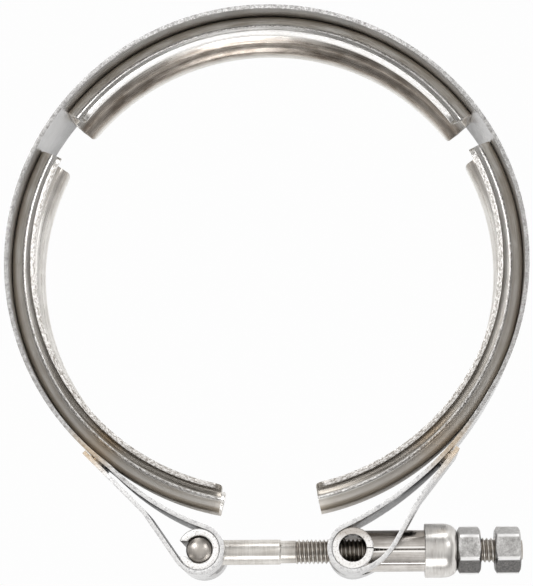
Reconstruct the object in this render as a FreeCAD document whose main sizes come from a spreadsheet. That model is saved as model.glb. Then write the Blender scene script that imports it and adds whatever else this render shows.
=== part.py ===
"""V band clamp with a T-bolt: a sheet steel band with two looped ends, three V-section
retainers spot-welded inside it, a T-bolt in the left loop and a split trunnion in the right.

The ring's axis is Z, the bolt lies along X below the ring, and the clamp lies flat, resting
on the band's lower edge. All lengths are millimetres and all angles are degrees.
"""
import FreeCAD, Part

import math
import os

import Sketcher

Vector = FreeCAD.Vector

# Driving dimensions: alias, value, what it is
SIZES = [
    ("band_radius", 63.6, "outer radius of the band"),
    ("band_thick", 1.0, "thickness of the band's strip"),
    ("band_width", 22.0, "width of the band's strip, along Z"),
    ("eye_drop", 6.97, "how far the bolt's axis lies outside the ring: both loops are on it"),
    ("left_eye_x", -16.24, "middle of the left loop"),
    ("right_eye_x", 20.11, "middle of the right loop"),
    ("left_depart", 41.63, "where the strip leaves the ring, measured round it from the bottom"),
    ("right_depart", 64.38, "the same on the right, where the clamp springs open more"),
    ("joggle_radius", 15.0, "outward bend where the strip leaves the ring"),
    ("left_lead_over", -3.1, "how much wider than the ring the sweep to the left loop is"),
    ("right_lead_over", 16.9, "the same for the sweep to the right loop"),
    ("left_exit_turn", 23.0, "how far past its lowest point the left loop opens out"),
    ("right_exit_turn", 14.0, "the same for the right loop"),
    ("left_exit_radius", 6.6, "radius to which the left loop opens out"),
    ("right_exit_radius", 14.0, "radius to which the right loop opens out"),
    ("left_tail_end", 47.51, "where the left tail ends, measured round the ring from the bottom"),
    ("right_tail_end", 48.84, "the same for the right tail"),
    ("left_tail_lift", 0.2, "gap between the left tail's end and the round ring"),
    ("right_tail_lift", 1.25, "gap between the right tail's end and the round ring"),
    ("left_tail_lean", 2.3, "how much the left tail leans away from the ring"),
    ("right_tail_lean", 7.7, "how much the right tail leans away from the ring"),
    ("left_tail_run", 19.4, "straight, welded length of the left tail"),
    ("right_tail_run", 13.5, "straight, welded length of the right tail"),
    ("tail_bend_radius", 10.0, "bend between a tail's two straight runs"),
    ("left_weld_at", 44.4, "where the left tail's spot welds are, measured as its end is"),
    ("right_weld_at", 42.74, "the same for the right tail's spot welds"),
    ("weld_radius", 2.2, "radius of a spot weld's nugget"),
    ("weld_spacing", 11.0, "distance between a tail's two welds"),
    ("top_retainer_at", 88.8, "middle of the top retainer, from +X"),
    ("left_gap_angle", 10.7, "angle between the top and the left retainer"),
    ("right_gap_angle", 7.5, "angle between the top and the right retainer"),
    ("bottom_gap_angle", 22.6, "angle between the left and the right retainer"),
    ("retainer_thick", 1.2, "thickness of the retainers' sheet"),
    ("retainer_seat", 0.05, "gap between a retainer's back and the band"),
    ("back_width", 9.8, "width of the back, flat against the band"),
    ("leg_angle", 30.0, "angle of a leg's upper part from the radial direction"),
    ("flare_angle", 38.0, "angle of a leg's lower part, from the bead to the lip"),
    ("retainer_depth", 6.35, "depth of a retainer, from its back to the inside of its lips"),
    ("lip_half_width", 9.6, "half the width over the lips"),
    ("back_round", 0.9, "length of the rounding between back and leg, on each of them"),
    ("bead_depth", 3.15, "how far the rolled bead along each leg lies inside the back"),
    ("bead_height", 0.3, "how far that bead stands proud"),
    ("bead_half_width", 0.45, "half of that bead's width"),
    ("lip_corner", 1.5, "rounding of the lips' corners at a retainer's ends"),
    ("sleeve_radius", 4.95, "outer radius of the sleeves that the loops hold"),
    ("sleeve_play", 0.05, "gap between a sleeve and its loop"),
    ("sleeve_bore", 3.3, "bore radius of both sleeves"),
    ("sleeve_recess", 0.2, "how far both sleeves end inside the band's edges"),
    ("sleeve_split", 44.0, "angle that the left sleeve stays open"),
    ("sleeve_split_at", 177.0, "direction in which the left sleeve is open"),
    ("bolt_radius", 3.0, "radius of the T-bolt's shank"),
    ("neck_radius", 2.7, "radius of the necked stretch before the thread"),
    ("thread_radius", 2.95, "outer radius of the thread"),
    ("shank_end", 18.9, "where the full shank ends, from the head's middle"),
    ("thread_start", 22.9, "where the thread starts"),
    ("bolt_end", 76.9, "where the bolt ends"),
    ("bolt_tip", 0.7, "chamfer of the bolt's tip"),
    ("head_radius", 3.15, "radius of the T-head's cross bar"),
    ("head_length", 17.0, "length of the cross bar without its domes"),
    ("head_dome", 1.2, "height of the cross bar's domed ends"),
    ("hole_play", 0.3, "gap round the bolt in a hole that it passes through"),
    ("slot_width", 7.6, "width of the slots in the loops for the bolt"),
    ("slot_from", 1.6, "where these slots start, from a loop's middle"),
    ("barrel_radius", 4.95, "outer radius of the trunnion's barrel"),
    ("barrel_start", 2.2, "where the barrel leaves the eye, from the eye's middle"),
    ("barrel_thick", 1.55, "wall of the barrel"),
    ("barrel_end", 22.6, "end of the barrel, from the eye's middle, inside the cap"),
    ("seam_gap", 0.5, "open seam between the barrel's two halves"),
    ("tail_slot_play", 0.35, "gap between the barrel and the tail's slot"),
    ("cap_start", 17.2, "open rim of the cap, from the right eye's middle"),
    ("cap_radius", 6.45, "outer radius of the cap"),
    ("cap_thick", 1.2, "wall of the cap"),
    ("cap_straight", 4.4, "length of the cap's straight wall"),
    ("cap_length", 7.85, "length of the cap over its dome"),
    ("cap_face_radius", 3.9, "radius of the cap's flat face"),
    ("nut_flats", 10.0, "width across the flats of both nuts"),
    ("nut_thick", 5.5, "height of the clamping nut"),
    ("lock_thick", 6.1, "height of the lock nut"),
    ("nut_chamfer", 0.6, "depth of the nuts' corner chamfer"),
    ("nut_turn", 55.0, "how far the nuts' corners are turned about the bolt"),
    ("lock_gap", 3.4, "bare thread between the nuts"),
    ("thread_play", 0.05, "gap between the nuts' bores and the thread"),
]

doc = FreeCAD.newDocument("v_band_clamp")
sheet = doc.addObject("Spreadsheet::Sheet", "Sizes")
for row, (alias, value, meaning) in enumerate(SIZES, start=1):
    sheet.set(f"A{row}", meaning)
    sheet.set(f"B{row}", str(value))
    sheet.setAlias(f"B{row}", alias)
doc.recompute()


def size(formula):
    """The value of a formula over the sheet's cells, as a plain number."""
    value = sheet.evalExpression(formula)
    return getattr(value, "Value", value)


# Lengths that follow from the driving dimensions, as formulas over the sheet
S = "Sizes."
MID_RADIUS = f"({S}band_radius - {S}band_thick / 2)"
BAND_INSIDE = f"({S}band_radius - {S}band_thick)"
LOOP_RADIUS = f"({S}sleeve_radius + {S}sleeve_play + {S}band_thick / 2)"
BACK_RADIUS = f"({BAND_INSIDE} - {S}retainer_seat)"
FLOOR_RADIUS = f"({BACK_RADIUS} - {S}retainer_thick)"
LIP_RADIUS = f"({BACK_RADIUS} - {S}retainer_depth)"
LIP_BACK = f"({LIP_RADIUS} + {S}retainer_thick)"
BEAD_RADIUS = f"({BACK_RADIUS} - {S}bead_depth)"
SPAN = f"((360 - {S}left_gap_angle - {S}right_gap_angle - {S}bottom_gap_angle) / 3)"
RETAINER_AT = {
    "top": f"{S}top_retainer_at",
    "left": f"{S}top_retainer_at + {SPAN} + {S}left_gap_angle",
    "right": f"{S}top_retainer_at - {SPAN} - {S}right_gap_angle",
}
EYE_Y = f"(0 - {S}band_radius - {S}eye_drop)"
SLEEVE_LENGTH = f"({S}band_width - 2 * {S}sleeve_recess)"
BARREL_BORE = f"({S}barrel_radius - {S}barrel_thick)"
CAP_END = f"({S}right_eye_x + {S}cap_start + {S}cap_length)"
LOCK_START = f"({CAP_END} + {S}nut_thick + {S}lock_gap)"
NUT_BORE = f"({S}thread_radius + {S}thread_play)"


def round_ring(alias):
    """The angle from the bottom of a place that is measured round the ring."""
    return f"({S}{alias} / {S}band_radius * 180 / pi)"


def new_body(name):
    """An empty body whose label is the name of the sub-part's file."""
    body = doc.addObject("PartDesign::Body", name)
    body.Label = name
    return body


def new_sketch(body, name, plane):
    """A sketch on one of the body's own planes: XY_Plane, XZ_Plane or YZ_Plane."""
    sketch = body.newObject("Sketcher::SketchObject", name)
    origin_plane = next(f for f in body.Origin.OriginFeatures if f.Role == plane)
    sketch.AttachmentSupport = [(origin_plane, "")]
    sketch.MapMode = "FlatFace"
    return sketch


def bind(sketch, kind, *where):
    """Add a constraint whose last argument is a formula over the sheet."""
    *geometry, formula = where
    index = sketch.addConstraint(Sketcher.Constraint(kind, *geometry, size(formula)))
    sketch.setExpression(f"Constraints[{index}]", formula)


def pin(sketch, curve, end, x, y):
    """Hold one end of a curve at a point given by two formulas."""
    bind(sketch, "DistanceX", -1, 1, curve, end, x)
    bind(sketch, "DistanceY", -1, 1, curve, end, y)


def polygon(sketch, corners):
    """A closed outline of straight lines through corners given as pairs of formulas."""
    points = [Vector(size(x), size(y), 0) for x, y in corners]
    for start, end in zip(points, points[1:] + points[:1]):
        sketch.addGeometry(Part.LineSegment(start, end))
    count = len(points)
    for line in range(count):
        sketch.addConstraint(Sketcher.Constraint("Coincident", line, 2, (line + 1) % count, 1))
    for line, (x, y) in enumerate(corners):
        pin(sketch, line, 1, x, y)


def circle(sketch, radius, x="0", y="0"):
    """A full circle whose centre and radius are formulas."""
    index = sketch.addGeometry(
        Part.Circle(Vector(size(x), size(y), 0), Vector(0, 0, 1), size(radius))
    )
    bind(sketch, "Radius", index, radius)
    pin(sketch, index, 3, x, y)
    return index


def place(thing, **formulas):
    """Bind a sub-part's position, and its turn about its own axis, to the sheet."""
    for key, formula in formulas.items():
        path = "Rotation.Angle" if key == "turn" else f"Base.{key}"
        thing.setExpression(f".Placement.{path}", formula)


def tool(body, kind, name, sketch, **values):
    """A feature of the body made from a sketch."""
    feature = body.newObject(f"PartDesign::{kind}", name)
    feature.Profile = sketch
    for key, value in values.items():
        if isinstance(value, str) and hasattr(feature, key) and value.startswith("="):
            feature.setExpression(key, value[1:])
        else:
            setattr(feature, key, value)
    sketch.Visibility = False
    doc.recompute()
    return feature


def revolve(body, name, corners, axis, plane="XZ_Plane", cut=False, **values):
    """A turned shape: the outline through corners spun about an axis of its sketch."""
    sketch = new_sketch(body, f"{name}_outline", plane)
    polygon(sketch, corners)
    kind = "Groove" if cut else "Revolution"
    values.setdefault("Angle", 360.0)
    return tool(body, kind, name, sketch, ReferenceAxis=(sketch, [axis]), **values)


def pocket_through(body, name, corners, depth):
    """Cut the outline through corners out of the body, evenly to both sides of Z = 0."""
    sketch = new_sketch(body, f"{name}_outline", "XY_Plane")
    polygon(sketch, corners)
    before = body.Shape.Volume
    cut = tool(body, "Pocket", name, sketch, Midplane=True, Length=f"={depth}")
    if not body.Shape.Volume < before:
        raise RuntimeError(f"{name} removed nothing")
    return cut


# ---- The band: one strip, bent into the ring and back round a sleeve at each end ----


def heading(degrees):
    """The unit vector at an angle from +X."""
    return Vector(math.cos(math.radians(degrees)), math.sin(math.radians(degrees)), 0)


def left_of(direction):
    """The unit vector a quarter turn to the left of a direction."""
    return Vector(-direction.y, direction.x, 0)


def circles_meet(first, first_radius, second, second_radius):
    """The meeting point of two circles that is nearer to the ring's middle."""
    between = second - first
    apart = between.Length
    along = (first_radius**2 - second_radius**2 + apart**2) / (2 * apart)
    across = math.sqrt(first_radius**2 - along**2)
    between.normalize()
    sides = [first + between * along + left_of(between) * across * s for s in (1, -1)]
    return min(sides, key=lambda point: point.Length)


def strip_route(side):
    """The strip's middle line on one side, as (radius or None, points) runs from the ring's
    top to the tail's end. It is worked out on the left and mirrored for the right."""
    name = "left" if side < 0 else "right"

    def own(word):
        return size(f"{S}{name}_{word}")

    def angle_of(word):
        return size(round_ring(f"{name}_{word}"))

    middle, loop = size(MID_RADIUS), size(LOOP_RADIUS)
    joggle, bend = size(f"{S}joggle_radius"), size(f"{S}tail_bend_radius")
    lead, out = middle + own("lead_over"), own("exit_radius")
    eye = Vector(-abs(own("eye_x")), size(EYE_Y), 0)

    depart = heading(270 - angle_of("depart"))
    leave = depart * middle
    joggle_centre = depart * (middle + joggle)
    lead_centre = circles_meet(joggle_centre, lead + joggle, eye, lead + loop)
    lead_start = joggle_centre + (lead_centre - joggle_centre) * (joggle / (lead + joggle))
    loop_start = lead_centre + (eye - lead_centre) * (lead / (lead + loop))

    opening = heading(270 - own("exit_turn"))
    loop_end = eye + opening * loop
    out_centre = eye - opening * (out - loop)

    tail_end = heading(270 - angle_of("tail_end"))
    tail_end = tail_end * (middle + size(f"{S}band_thick") + own("tail_lift"))
    tail_heading = heading(180 - angle_of("tail_end") - own("tail_lean"))
    bend_end = tail_end - tail_heading * own("tail_run")
    bend_centre = bend_end + left_of(tail_heading) * bend
    between = bend_centre - out_centre
    straight = math.sqrt(between.Length**2 - (out + bend) ** 2)
    run_angle = math.atan2(between.y, between.x) - math.atan2(out + bend, straight)
    run_heading = heading(math.degrees(run_angle))
    out_end = out_centre + left_of(run_heading) * out
    bend_start = bend_centre - left_of(run_heading) * bend

    def arc(centre, radius, start, end, through):
        spoke = through - centre
        spoke.normalize()
        return radius, [start, centre + spoke * radius, end]

    runs = [
        (middle, [heading(90) * middle, heading(180 - angle_of("depart") / 2) * middle, leave]),
        arc(joggle_centre, joggle, leave, lead_start, (leave + lead_start) * 0.5),
        arc(lead_centre, lead, lead_start, loop_start, (lead_start + loop_start) * 0.5),
        arc(eye, loop, loop_start, loop_end, eye + Vector(loop, 0, 0)),
        arc(out_centre, out, loop_end, out_end, (loop_end + out_end) * 0.5),
        (None, [out_end, bend_start]),
        arc(bend_centre, bend, bend_start, bend_end, (bend_start + bend_end) * 0.5),
        (None, [bend_end, tail_end]),
    ]
    if side > 0:
        runs = [(radius, [Vector(-p.x, p.y, 0) for p in points]) for radius, points in runs]
    return runs


def same_end(sketch, first, second):
    """Which ends of two curves of a sketch meet."""
    for one in (1, 2):
        for other in (1, 2):
            gap = sketch.getPoint(first, one) - sketch.getPoint(second, other)
            if gap.Length < 1e-6:
                return one, other
    raise RuntimeError(f"curves {first} and {second} don't meet")


def strip_path(body, side):
    """The sketch of that route: arcs and lines that stay tangent when a size changes."""
    name = "left" if side < 0 else "right"
    sketch = new_sketch(body, f"{name}_path", "XY_Plane")
    ring, joggle, lead, loop, out, run, bend, tail = range(8)
    for radius, points in strip_route(side):
        sketch.addGeometry(Part.LineSegment(*points) if radius is None else Part.Arc(*points))
    joints = {}
    for first in range(ring, tail):
        one, other = same_end(sketch, first, first + 1)
        joints[first] = (first, one)
        sketch.addConstraint(Sketcher.Constraint("Tangent", first, one, first + 1, other))
    start = 3 - joints[ring][1]
    end = 1 if same_end(sketch, bend, tail)[1] == 2 else 2

    own = f"{S}{name}_"
    across = "-1" if side < 0 else "1"
    sketch.addConstraint(Sketcher.Constraint("Coincident", ring, 3, -1, 1))
    sketch.addConstraint(Sketcher.Constraint("PointOnObject", ring, start, -2))
    bind(sketch, "Radius", ring, MID_RADIUS)
    depart = round_ring(f"{name}_depart")
    bind(sketch, "DistanceX", -1, 1, *joints[ring], f"{across} * {MID_RADIUS} * sin({depart})")
    bind(sketch, "Radius", joggle, f"{S}joggle_radius")
    bind(sketch, "Radius", lead, f"{MID_RADIUS} + {own}lead_over")
    bind(sketch, "Radius", loop, LOOP_RADIUS)
    pin(sketch, loop, 3, f"{own}eye_x", EYE_Y)
    turn = f"{own}exit_turn"
    bind(sketch, "DistanceX", -1, 1, *joints[loop],
         f"{own}eye_x + {across} * {LOOP_RADIUS} * sin({turn})")
    bind(sketch, "Radius", out, f"{own}exit_radius")
    bind(sketch, "Radius", bend, f"{S}tail_bend_radius")
    tail_radius = f"({MID_RADIUS} + {S}band_thick + {own}tail_lift)"
    tail_angle = round_ring(f"{name}_tail_end")
    end_x = f"{across} * {tail_radius} * sin({tail_angle})"
    end_y = f"-{tail_radius} * cos({tail_angle})"
    lean = f"({tail_angle} + {own}tail_lean)"
    pin(sketch, tail, end, end_x, end_y)
    pin(sketch, tail, 3 - end, f"{end_x} - {across} * {own}tail_run * cos({lean})",
        f"{end_y} - {own}tail_run * sin({lean})")
    doc.recompute()
    return sketch


def make_band():
    """The strip swept along both routes, slotted for the bolt and the barrel."""
    body = new_body("band_strip")
    half = f"{S}band_width / 2"
    section = new_sketch(body, "strip_section", "YZ_Plane")
    polygon(section, [
        (BAND_INSIDE, f"-{half}"), (f"{S}band_radius", f"-{half}"),
        (f"{S}band_radius", half), (BAND_INSIDE, half),
    ])
    for side in (-1, 1):
        path = strip_path(body, side)
        name = "left" if side < 0 else "right"
        tool(body, "AdditivePipe", f"{name}_strip", section, Spine=(path, [""]))
        path.Visibility = False

    # The bolt passes through the right wall of the left loop and the left wall of the right one
    reach = f"({LOOP_RADIUS} + {S}band_thick)"
    for name, towards in (("left", "1"), ("right", "-1")):
        near = f"{S}{name}_eye_x + {towards} * {S}slot_from"
        far = f"{S}{name}_eye_x + {towards} * {reach}"
        low, high = f"{EYE_Y} - {reach}", f"{EYE_Y} + {reach}"
        pocket_through(body, f"{name}_loop_slot",
                       [(near, low), (far, low), (far, high), (near, high)], f"{S}slot_width")

    # The barrel passes through the right tail, which is slotted from the loop up to its bend
    tail_angle = round_ring("right_tail_end")
    lean = f"({tail_angle} + {S}right_tail_lean)"
    tail_radius = f"({MID_RADIUS} + {S}band_thick + {S}right_tail_lift)"
    bend_x = f"({tail_radius} * sin({tail_angle}) - {S}right_tail_run * cos({lean}))"
    bend_y = f"(-{tail_radius} * cos({tail_angle}) - {S}right_tail_run * sin({lean}))"
    pocket_through(body, "tail_slot", [
        (f"{S}right_eye_x + {S}slot_from", f"{EYE_Y} - {reach}"),
        (f"{S}right_eye_x + {S}right_exit_radius", f"{EYE_Y} - {reach}"),
        (f"{bend_x} + 2 * {S}band_thick", f"{bend_y} - 2 * {S}band_thick"),
        (f"{bend_x} - 2 * {S}band_thick", f"{bend_y} - {S}band_thick"),
        (f"{S}right_eye_x + {S}slot_from", f"{EYE_Y} - {S}sleeve_bore"),
    ], f"2 * ({S}barrel_radius + {S}tail_slot_play)")
    return body


def weld_tails(strip):
    """The finished band: the strip with each tail spot-welded to the ring it lies on."""
    nuggets = []
    for name, across in (("left", -1), ("right", 1)):
        weld_at = round_ring(f"{name}_weld_at")
        for row in (-1, 1):
            nugget = doc.addObject("Part::Cylinder", f"{name}_weld")
            nugget.setExpression("Radius", f"{S}weld_radius")
            nugget.setExpression("Height", f"{S}band_thick + 0.6 * {S}{name}_tail_lift")
            outwards = FreeCAD.Rotation(Vector(0, 0, 1), heading(across * size(weld_at) - 90))
            nugget.Placement = FreeCAD.Placement(Vector(), outwards)
            place(nugget, x=f"{across} * {MID_RADIUS} * sin({weld_at})",
                  y=f"-{MID_RADIUS} * cos({weld_at})", z=f"{row} * {S}weld_spacing / 2")
            nuggets.append(nugget)
    band = doc.addObject("Part::MultiFuse", "band")
    band.Shapes = [strip, *nuggets]
    band.Label = "band"
    return band


# ---- The retainers: V-section segments with turned-up lips ----


def lip_corners(shape, radius, height):
    """Names of the short radial edges at the lips' outer corners, at a retainer's ends."""
    names = []
    for number, edge in enumerate(shape.Edges, start=1):
        middle = edge.valueAt((edge.FirstParameter + edge.LastParameter) / 2)
        from_axis = math.hypot(middle.x, middle.y)
        if isinstance(edge.Curve, Part.Line) and abs(abs(middle.z) - height) < 1e-4:
            if abs(from_axis - radius) < 1e-3:
                names.append(f"Edge{number}")
    return names


def make_retainer(place_name):
    """One segment: its section spun about the ring's axis, then turned to its place."""
    body = new_body(f"retainer_{place_name}")
    slope, flare = f"tan({S}leg_angle)", f"tan({S}flare_angle)"
    thick = f"{S}retainer_thick"
    back = f"({S}back_width / 2)"
    bead, bead_half = BEAD_RADIUS, f"{S}bead_half_width"
    lip = f"{S}lip_half_width"

    def upper(radius):
        """Height of a leg's back at a radius, from the back's corner to the bead."""
        return f"({back} + ({BACK_RADIUS} - ({radius})) * {slope})"

    def lower(radius):
        """The same from the bead to the lip."""
        return f"({upper(bead)} + ({bead} - ({radius})) * {flare})"

    rounding = f"{S}back_round"
    half = [
        (BACK_RADIUS, f"{back} - {rounding}"),
        (f"{BACK_RADIUS} - {rounding} * cos({S}leg_angle)", f"{back} + {rounding} * sin({S}leg_angle)"),
        (f"{bead} + {bead_half}", upper(f"{bead} + {bead_half}")),
        (bead, f"{upper(bead)} + {S}bead_height"),
        (f"{bead} - {bead_half}", lower(f"{bead} - {bead_half}")),
        (LIP_BACK, lower(LIP_BACK)),
        (LIP_BACK, lip),
        (LIP_RADIUS, lip),
        (LIP_RADIUS, f"{lower(LIP_RADIUS)} - {thick} / cos({S}flare_angle)"),
        (FLOOR_RADIUS, f"{upper(FLOOR_RADIUS)} - {thick} / cos({S}leg_angle)"),
    ]
    outline = half + [(radius, f"-({height})") for radius, height in reversed(half)]
    revolve(body, f"{place_name}_channel", outline, "V_Axis",
            Angle=f"={SPAN}", Midplane=True)

    shape = body.Shape
    middle = size(f"{LIP_RADIUS} + {S}retainer_thick / 2")
    base = body.Tip
    corners = body.newObject("PartDesign::Fillet", f"{place_name}_lip_corners")
    corners.Base = (base, lip_corners(shape, middle, size(lip)))
    corners.setExpression("Radius", f"{S}lip_corner")
    doc.recompute()
    place(body, turn=RETAINER_AT[place_name])
    return body


# ---- The T-bolt and the sleeve that its head turns in ----


def make_t_bolt():
    """A cross bar along Z with domed ends, and a shank along +X from its middle."""
    body = new_body("t_bolt")
    neck_step = f"({S}bolt_radius - {S}neck_radius)"
    tip = f"{S}bolt_tip"
    revolve(body, "shank", [
        ("0", "0"), ("0", f"{S}bolt_radius"),
        (f"{S}shank_end", f"{S}bolt_radius"),
        (f"{S}shank_end + {neck_step}", f"{S}neck_radius"),
        (f"{S}thread_start - {neck_step}", f"{S}neck_radius"),
        (f"{S}thread_start", f"{S}thread_radius"),
        (f"{S}bolt_end - {tip}", f"{S}thread_radius"),
        (f"{S}bolt_end", f"{S}thread_radius - {tip}"),
        (f"{S}bolt_end", "0"),
    ], "H_Axis")
    length = f"({S}head_length / 2)"
    bar = new_sketch(body, "bar_outline", "XZ_Plane")
    radius, dome = f"{S}head_radius", f"{S}head_dome"
    polygon(bar, [("0", f"-{length}"), (radius, f"-{length}"), (radius, length), ("0", length)])
    tool(body, "Revolution", "cross_bar", bar, ReferenceAxis=(bar, ["V_Axis"]), Angle=360.0)
    for name, sign in (("upper", "1"), ("lower", "-1")):
        cap = new_sketch(body, f"{name}_dome_outline", "XZ_Plane")
        low, high = f"{sign} * {length}", f"{sign} * ({length} + {dome})"
        polygon(cap, [
            ("0", low), (radius, low), (f"{radius} * 0.86", f"{sign} * ({length} + {dome} * 0.52)"),
            (f"{radius} * 0.45", f"{sign} * ({length} + {dome} * 0.9)"), ("0", high),
        ])
        tool(body, "Revolution", f"{name}_dome", cap, ReferenceAxis=(cap, ["V_Axis"]), Angle=360.0)
    place(body, x=f"{S}left_eye_x", y=EYE_Y)
    return body


def make_bolt_sleeve():
    """A tube rolled from sheet that stays open on its left, with a hole for the shank."""
    body = new_body("bolt_sleeve")
    ring = new_sketch(body, "sleeve_outline", "XY_Plane")
    circle(ring, f"{S}sleeve_radius")
    circle(ring, f"{S}sleeve_bore")
    tool(body, "Pad", "sleeve_tube", ring, Midplane=True, Length=f"={SLEEVE_LENGTH}")
    reach = f"(2 * {S}sleeve_radius)"
    low = f"({S}sleeve_split_at - {S}sleeve_split / 2)"
    high = f"({S}sleeve_split_at + {S}sleeve_split / 2)"
    pocket_through(body, "sleeve_split", [
        ("0", "0"),
        (f"{reach} * cos({low})", f"{reach} * sin({low})"),
        (f"{reach} * cos({high})", f"{reach} * sin({high})"),
    ], f"2 * {SLEEVE_LENGTH}")
    hole = new_sketch(body, "shank_hole_outline", "YZ_Plane")
    circle(hole, f"{S}bolt_radius + {S}hole_play")
    before = body.Shape.Volume
    tool(body, "Pocket", "shank_hole", hole, Length=f"={reach}", Reversed=True)
    if not body.Shape.Volume < before:
        raise RuntimeError("the shank's hole removed nothing")
    place(body, x=f"{S}left_eye_x", y=EYE_Y)
    return body


# ---- The split trunnion: an eye and a barrel stamped from one sheet ----


def make_split_trunnion():
    """The eye turns in the right loop. The barrel's two halves leave it towards +X, with
    an open seam between them on the front and on the back."""
    body = new_body("split_trunnion")
    eye = new_sketch(body, "eye_outline", "XY_Plane")
    circle(eye, f"{S}sleeve_radius")
    tool(body, "Pad", "eye_tube", eye, Midplane=True, Length=f"={SLEEVE_LENGTH}")
    barrel = new_sketch(body, "barrel_outline", "YZ_Plane")
    circle(barrel, f"{S}barrel_radius")
    barrel.setExpression(".AttachmentOffset.Base.z", f"{S}barrel_start")
    tool(body, "Pad", "barrel", barrel, Length=f"={S}barrel_end - {S}barrel_start")
    bore = new_sketch(body, "barrel_bore_outline", "YZ_Plane")
    circle(bore, BARREL_BORE)
    before = body.Shape.Volume
    tool(body, "Pocket", "barrel_bore", bore, Length=f"=2 * {S}barrel_end", Midplane=True)
    if not body.Shape.Volume < before:
        raise RuntimeError("the barrel's bore removed nothing")
    eye_bore = new_sketch(body, "eye_bore_outline", "XY_Plane")
    circle(eye_bore, f"{S}sleeve_bore")
    tool(body, "Pocket", "eye_bore", eye_bore, Midplane=True, Length=f"=2 * {SLEEVE_LENGTH}")
    gap = f"({S}seam_gap / 2)"
    pocket_through(body, "seam", [
        (f"{S}sleeve_bore / 2", f"-{gap}"), (f"{S}barrel_end + 1", f"-{gap}"),
        (f"{S}barrel_end + 1", gap), (f"{S}sleeve_bore / 2", gap),
    ], f"2 * {SLEEVE_LENGTH}")
    place(body, x=f"{S}right_eye_x", y=EYE_Y)
    return body


# ---- The cap and the nuts on the bolt ----


def make_domed_cap():
    """A drawn cup over the barrel's end, domed towards the nut, with a hole for the bolt."""
    body = new_body("domed_cap")
    hole = f"({S}thread_radius + {S}hole_play)"
    outer, straight, length = f"{S}cap_radius", f"{S}cap_straight", f"{S}cap_length"
    face, wall = f"{S}cap_face_radius", f"{S}cap_thick"
    rise, fall = f"({length} - {straight})", f"({outer} - {face})"
    curve = ((0, 1), (0.5, 0.87), (0.87, 0.5), (1, 0))
    dome = [(f"{straight} + {rise} * {x}", f"{face} + {fall} * {y}") for x, y in curve]
    inside = [
        (f"{length} - {wall}", f"{face} - {wall} * 0.45"),
        (f"{straight} + ({rise} - {wall}) * 0.62", f"{outer} - {wall} * 1.12"),
        (straight, f"{outer} - {wall}"),
    ]
    revolve(body, "cup", [
        ("0", outer), *dome, (length, hole), (f"{length} - {wall}", hole),
        *inside, ("0", f"{outer} - {wall}"),
    ], "H_Axis")
    place(body, x=f"{S}right_eye_x + {S}cap_start", y=EYE_Y)
    return body


def make_nut(name, thick, start):
    """A hexagon nut with chamfered corners and a plain bore, its near face at `start`."""
    body = new_body(name)
    corner = f"({S}nut_flats / 2 / cos(30))"
    hexagon = new_sketch(body, f"{name}_hexagon", "YZ_Plane")
    polygon(hexagon, [
        (f"{corner} * cos({60 * k} + {S}nut_turn)", f"{corner} * sin({60 * k} + {S}nut_turn)")
        for k in range(6)
    ])
    tool(body, "Pad", f"{name}_prism", hexagon, Length=f"={thick}")
    depth = f"{S}nut_chamfer"
    reach = f"({corner} + 1)"
    width = f"({depth} / tan(30))"
    edge = f"({corner} - {width})"
    for end, face, inwards in (("near", "0", "1"), ("far", thick, "-1")):
        revolve(body, f"{name}_{end}_chamfer", [
            (face, edge), (f"{face} + {inwards} * {reach} * tan(30) - {inwards} * {edge} * tan(30)",
                           reach), (face, reach),
        ], "H_Axis", cut=True)
    bore = new_sketch(body, f"{name}_bore_outline", "YZ_Plane")
    circle(bore, NUT_BORE)
    tool(body, "Pocket", f"{name}_bore", bore, Length=f"=4 * {thick}", Midplane=True)
    place(body, x=start, y=EYE_Y)
    return body


parts = [
    weld_tails(make_band()),
    *[make_retainer(name) for name in ("top", "left", "right")],
    make_t_bolt(),
    make_bolt_sleeve(),
    make_split_trunnion(),
    make_domed_cap(),
    make_nut("clamp_nut", f"{S}nut_thick", CAP_END),
    make_nut("lock_nut", f"{S}lock_thick", LOCK_START),
]
doc.recompute()

for thing in doc.Objects:
    if "Invalid" in thing.State or "Error" in thing.State:
        raise RuntimeError(f"{thing.Name} failed: {thing.State}")
for part in parts:
    if part.Shape.isNull() or not part.Shape.isValid() or len(part.Shape.Solids) != 1:
        raise RuntimeError(f"{part.Label} isn't one valid solid")

os.makedirs("parts", exist_ok=True)
for part in parts:
    part.Shape.exportStep(f"parts/{part.Label}.step")
    box = part.Shape.BoundBox
    print(f"{part.Label:16s} {part.Shape.Volume:9.1f} mm3  "
          f"X {box.XMin:7.2f} to {box.XMax:6.2f}  Y {box.YMin:7.2f} to {box.YMax:6.2f}  "
          f"Z {box.ZMin:6.2f} to {box.ZMax:5.2f}")
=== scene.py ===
# %% [markdown]
# # A V band clamp
#
# A ring of sheet steel pulls two pipe flanges together. Inside it sit three V-shaped
# retainers. A T-bolt hangs in a loop at one end of the ring, passes through a split
# trunnion in the loop at the other end, and two nuts and a domed cap draw it tight.
#
# The CAD model gives the frame: where each body is and how it moves. Here every piece is
# modelled again with its rolled edges, bend radii and thread, and then gets its finish.

import math

import bmesh
import bpy
from mathutils import Matrix, Vector


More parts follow.
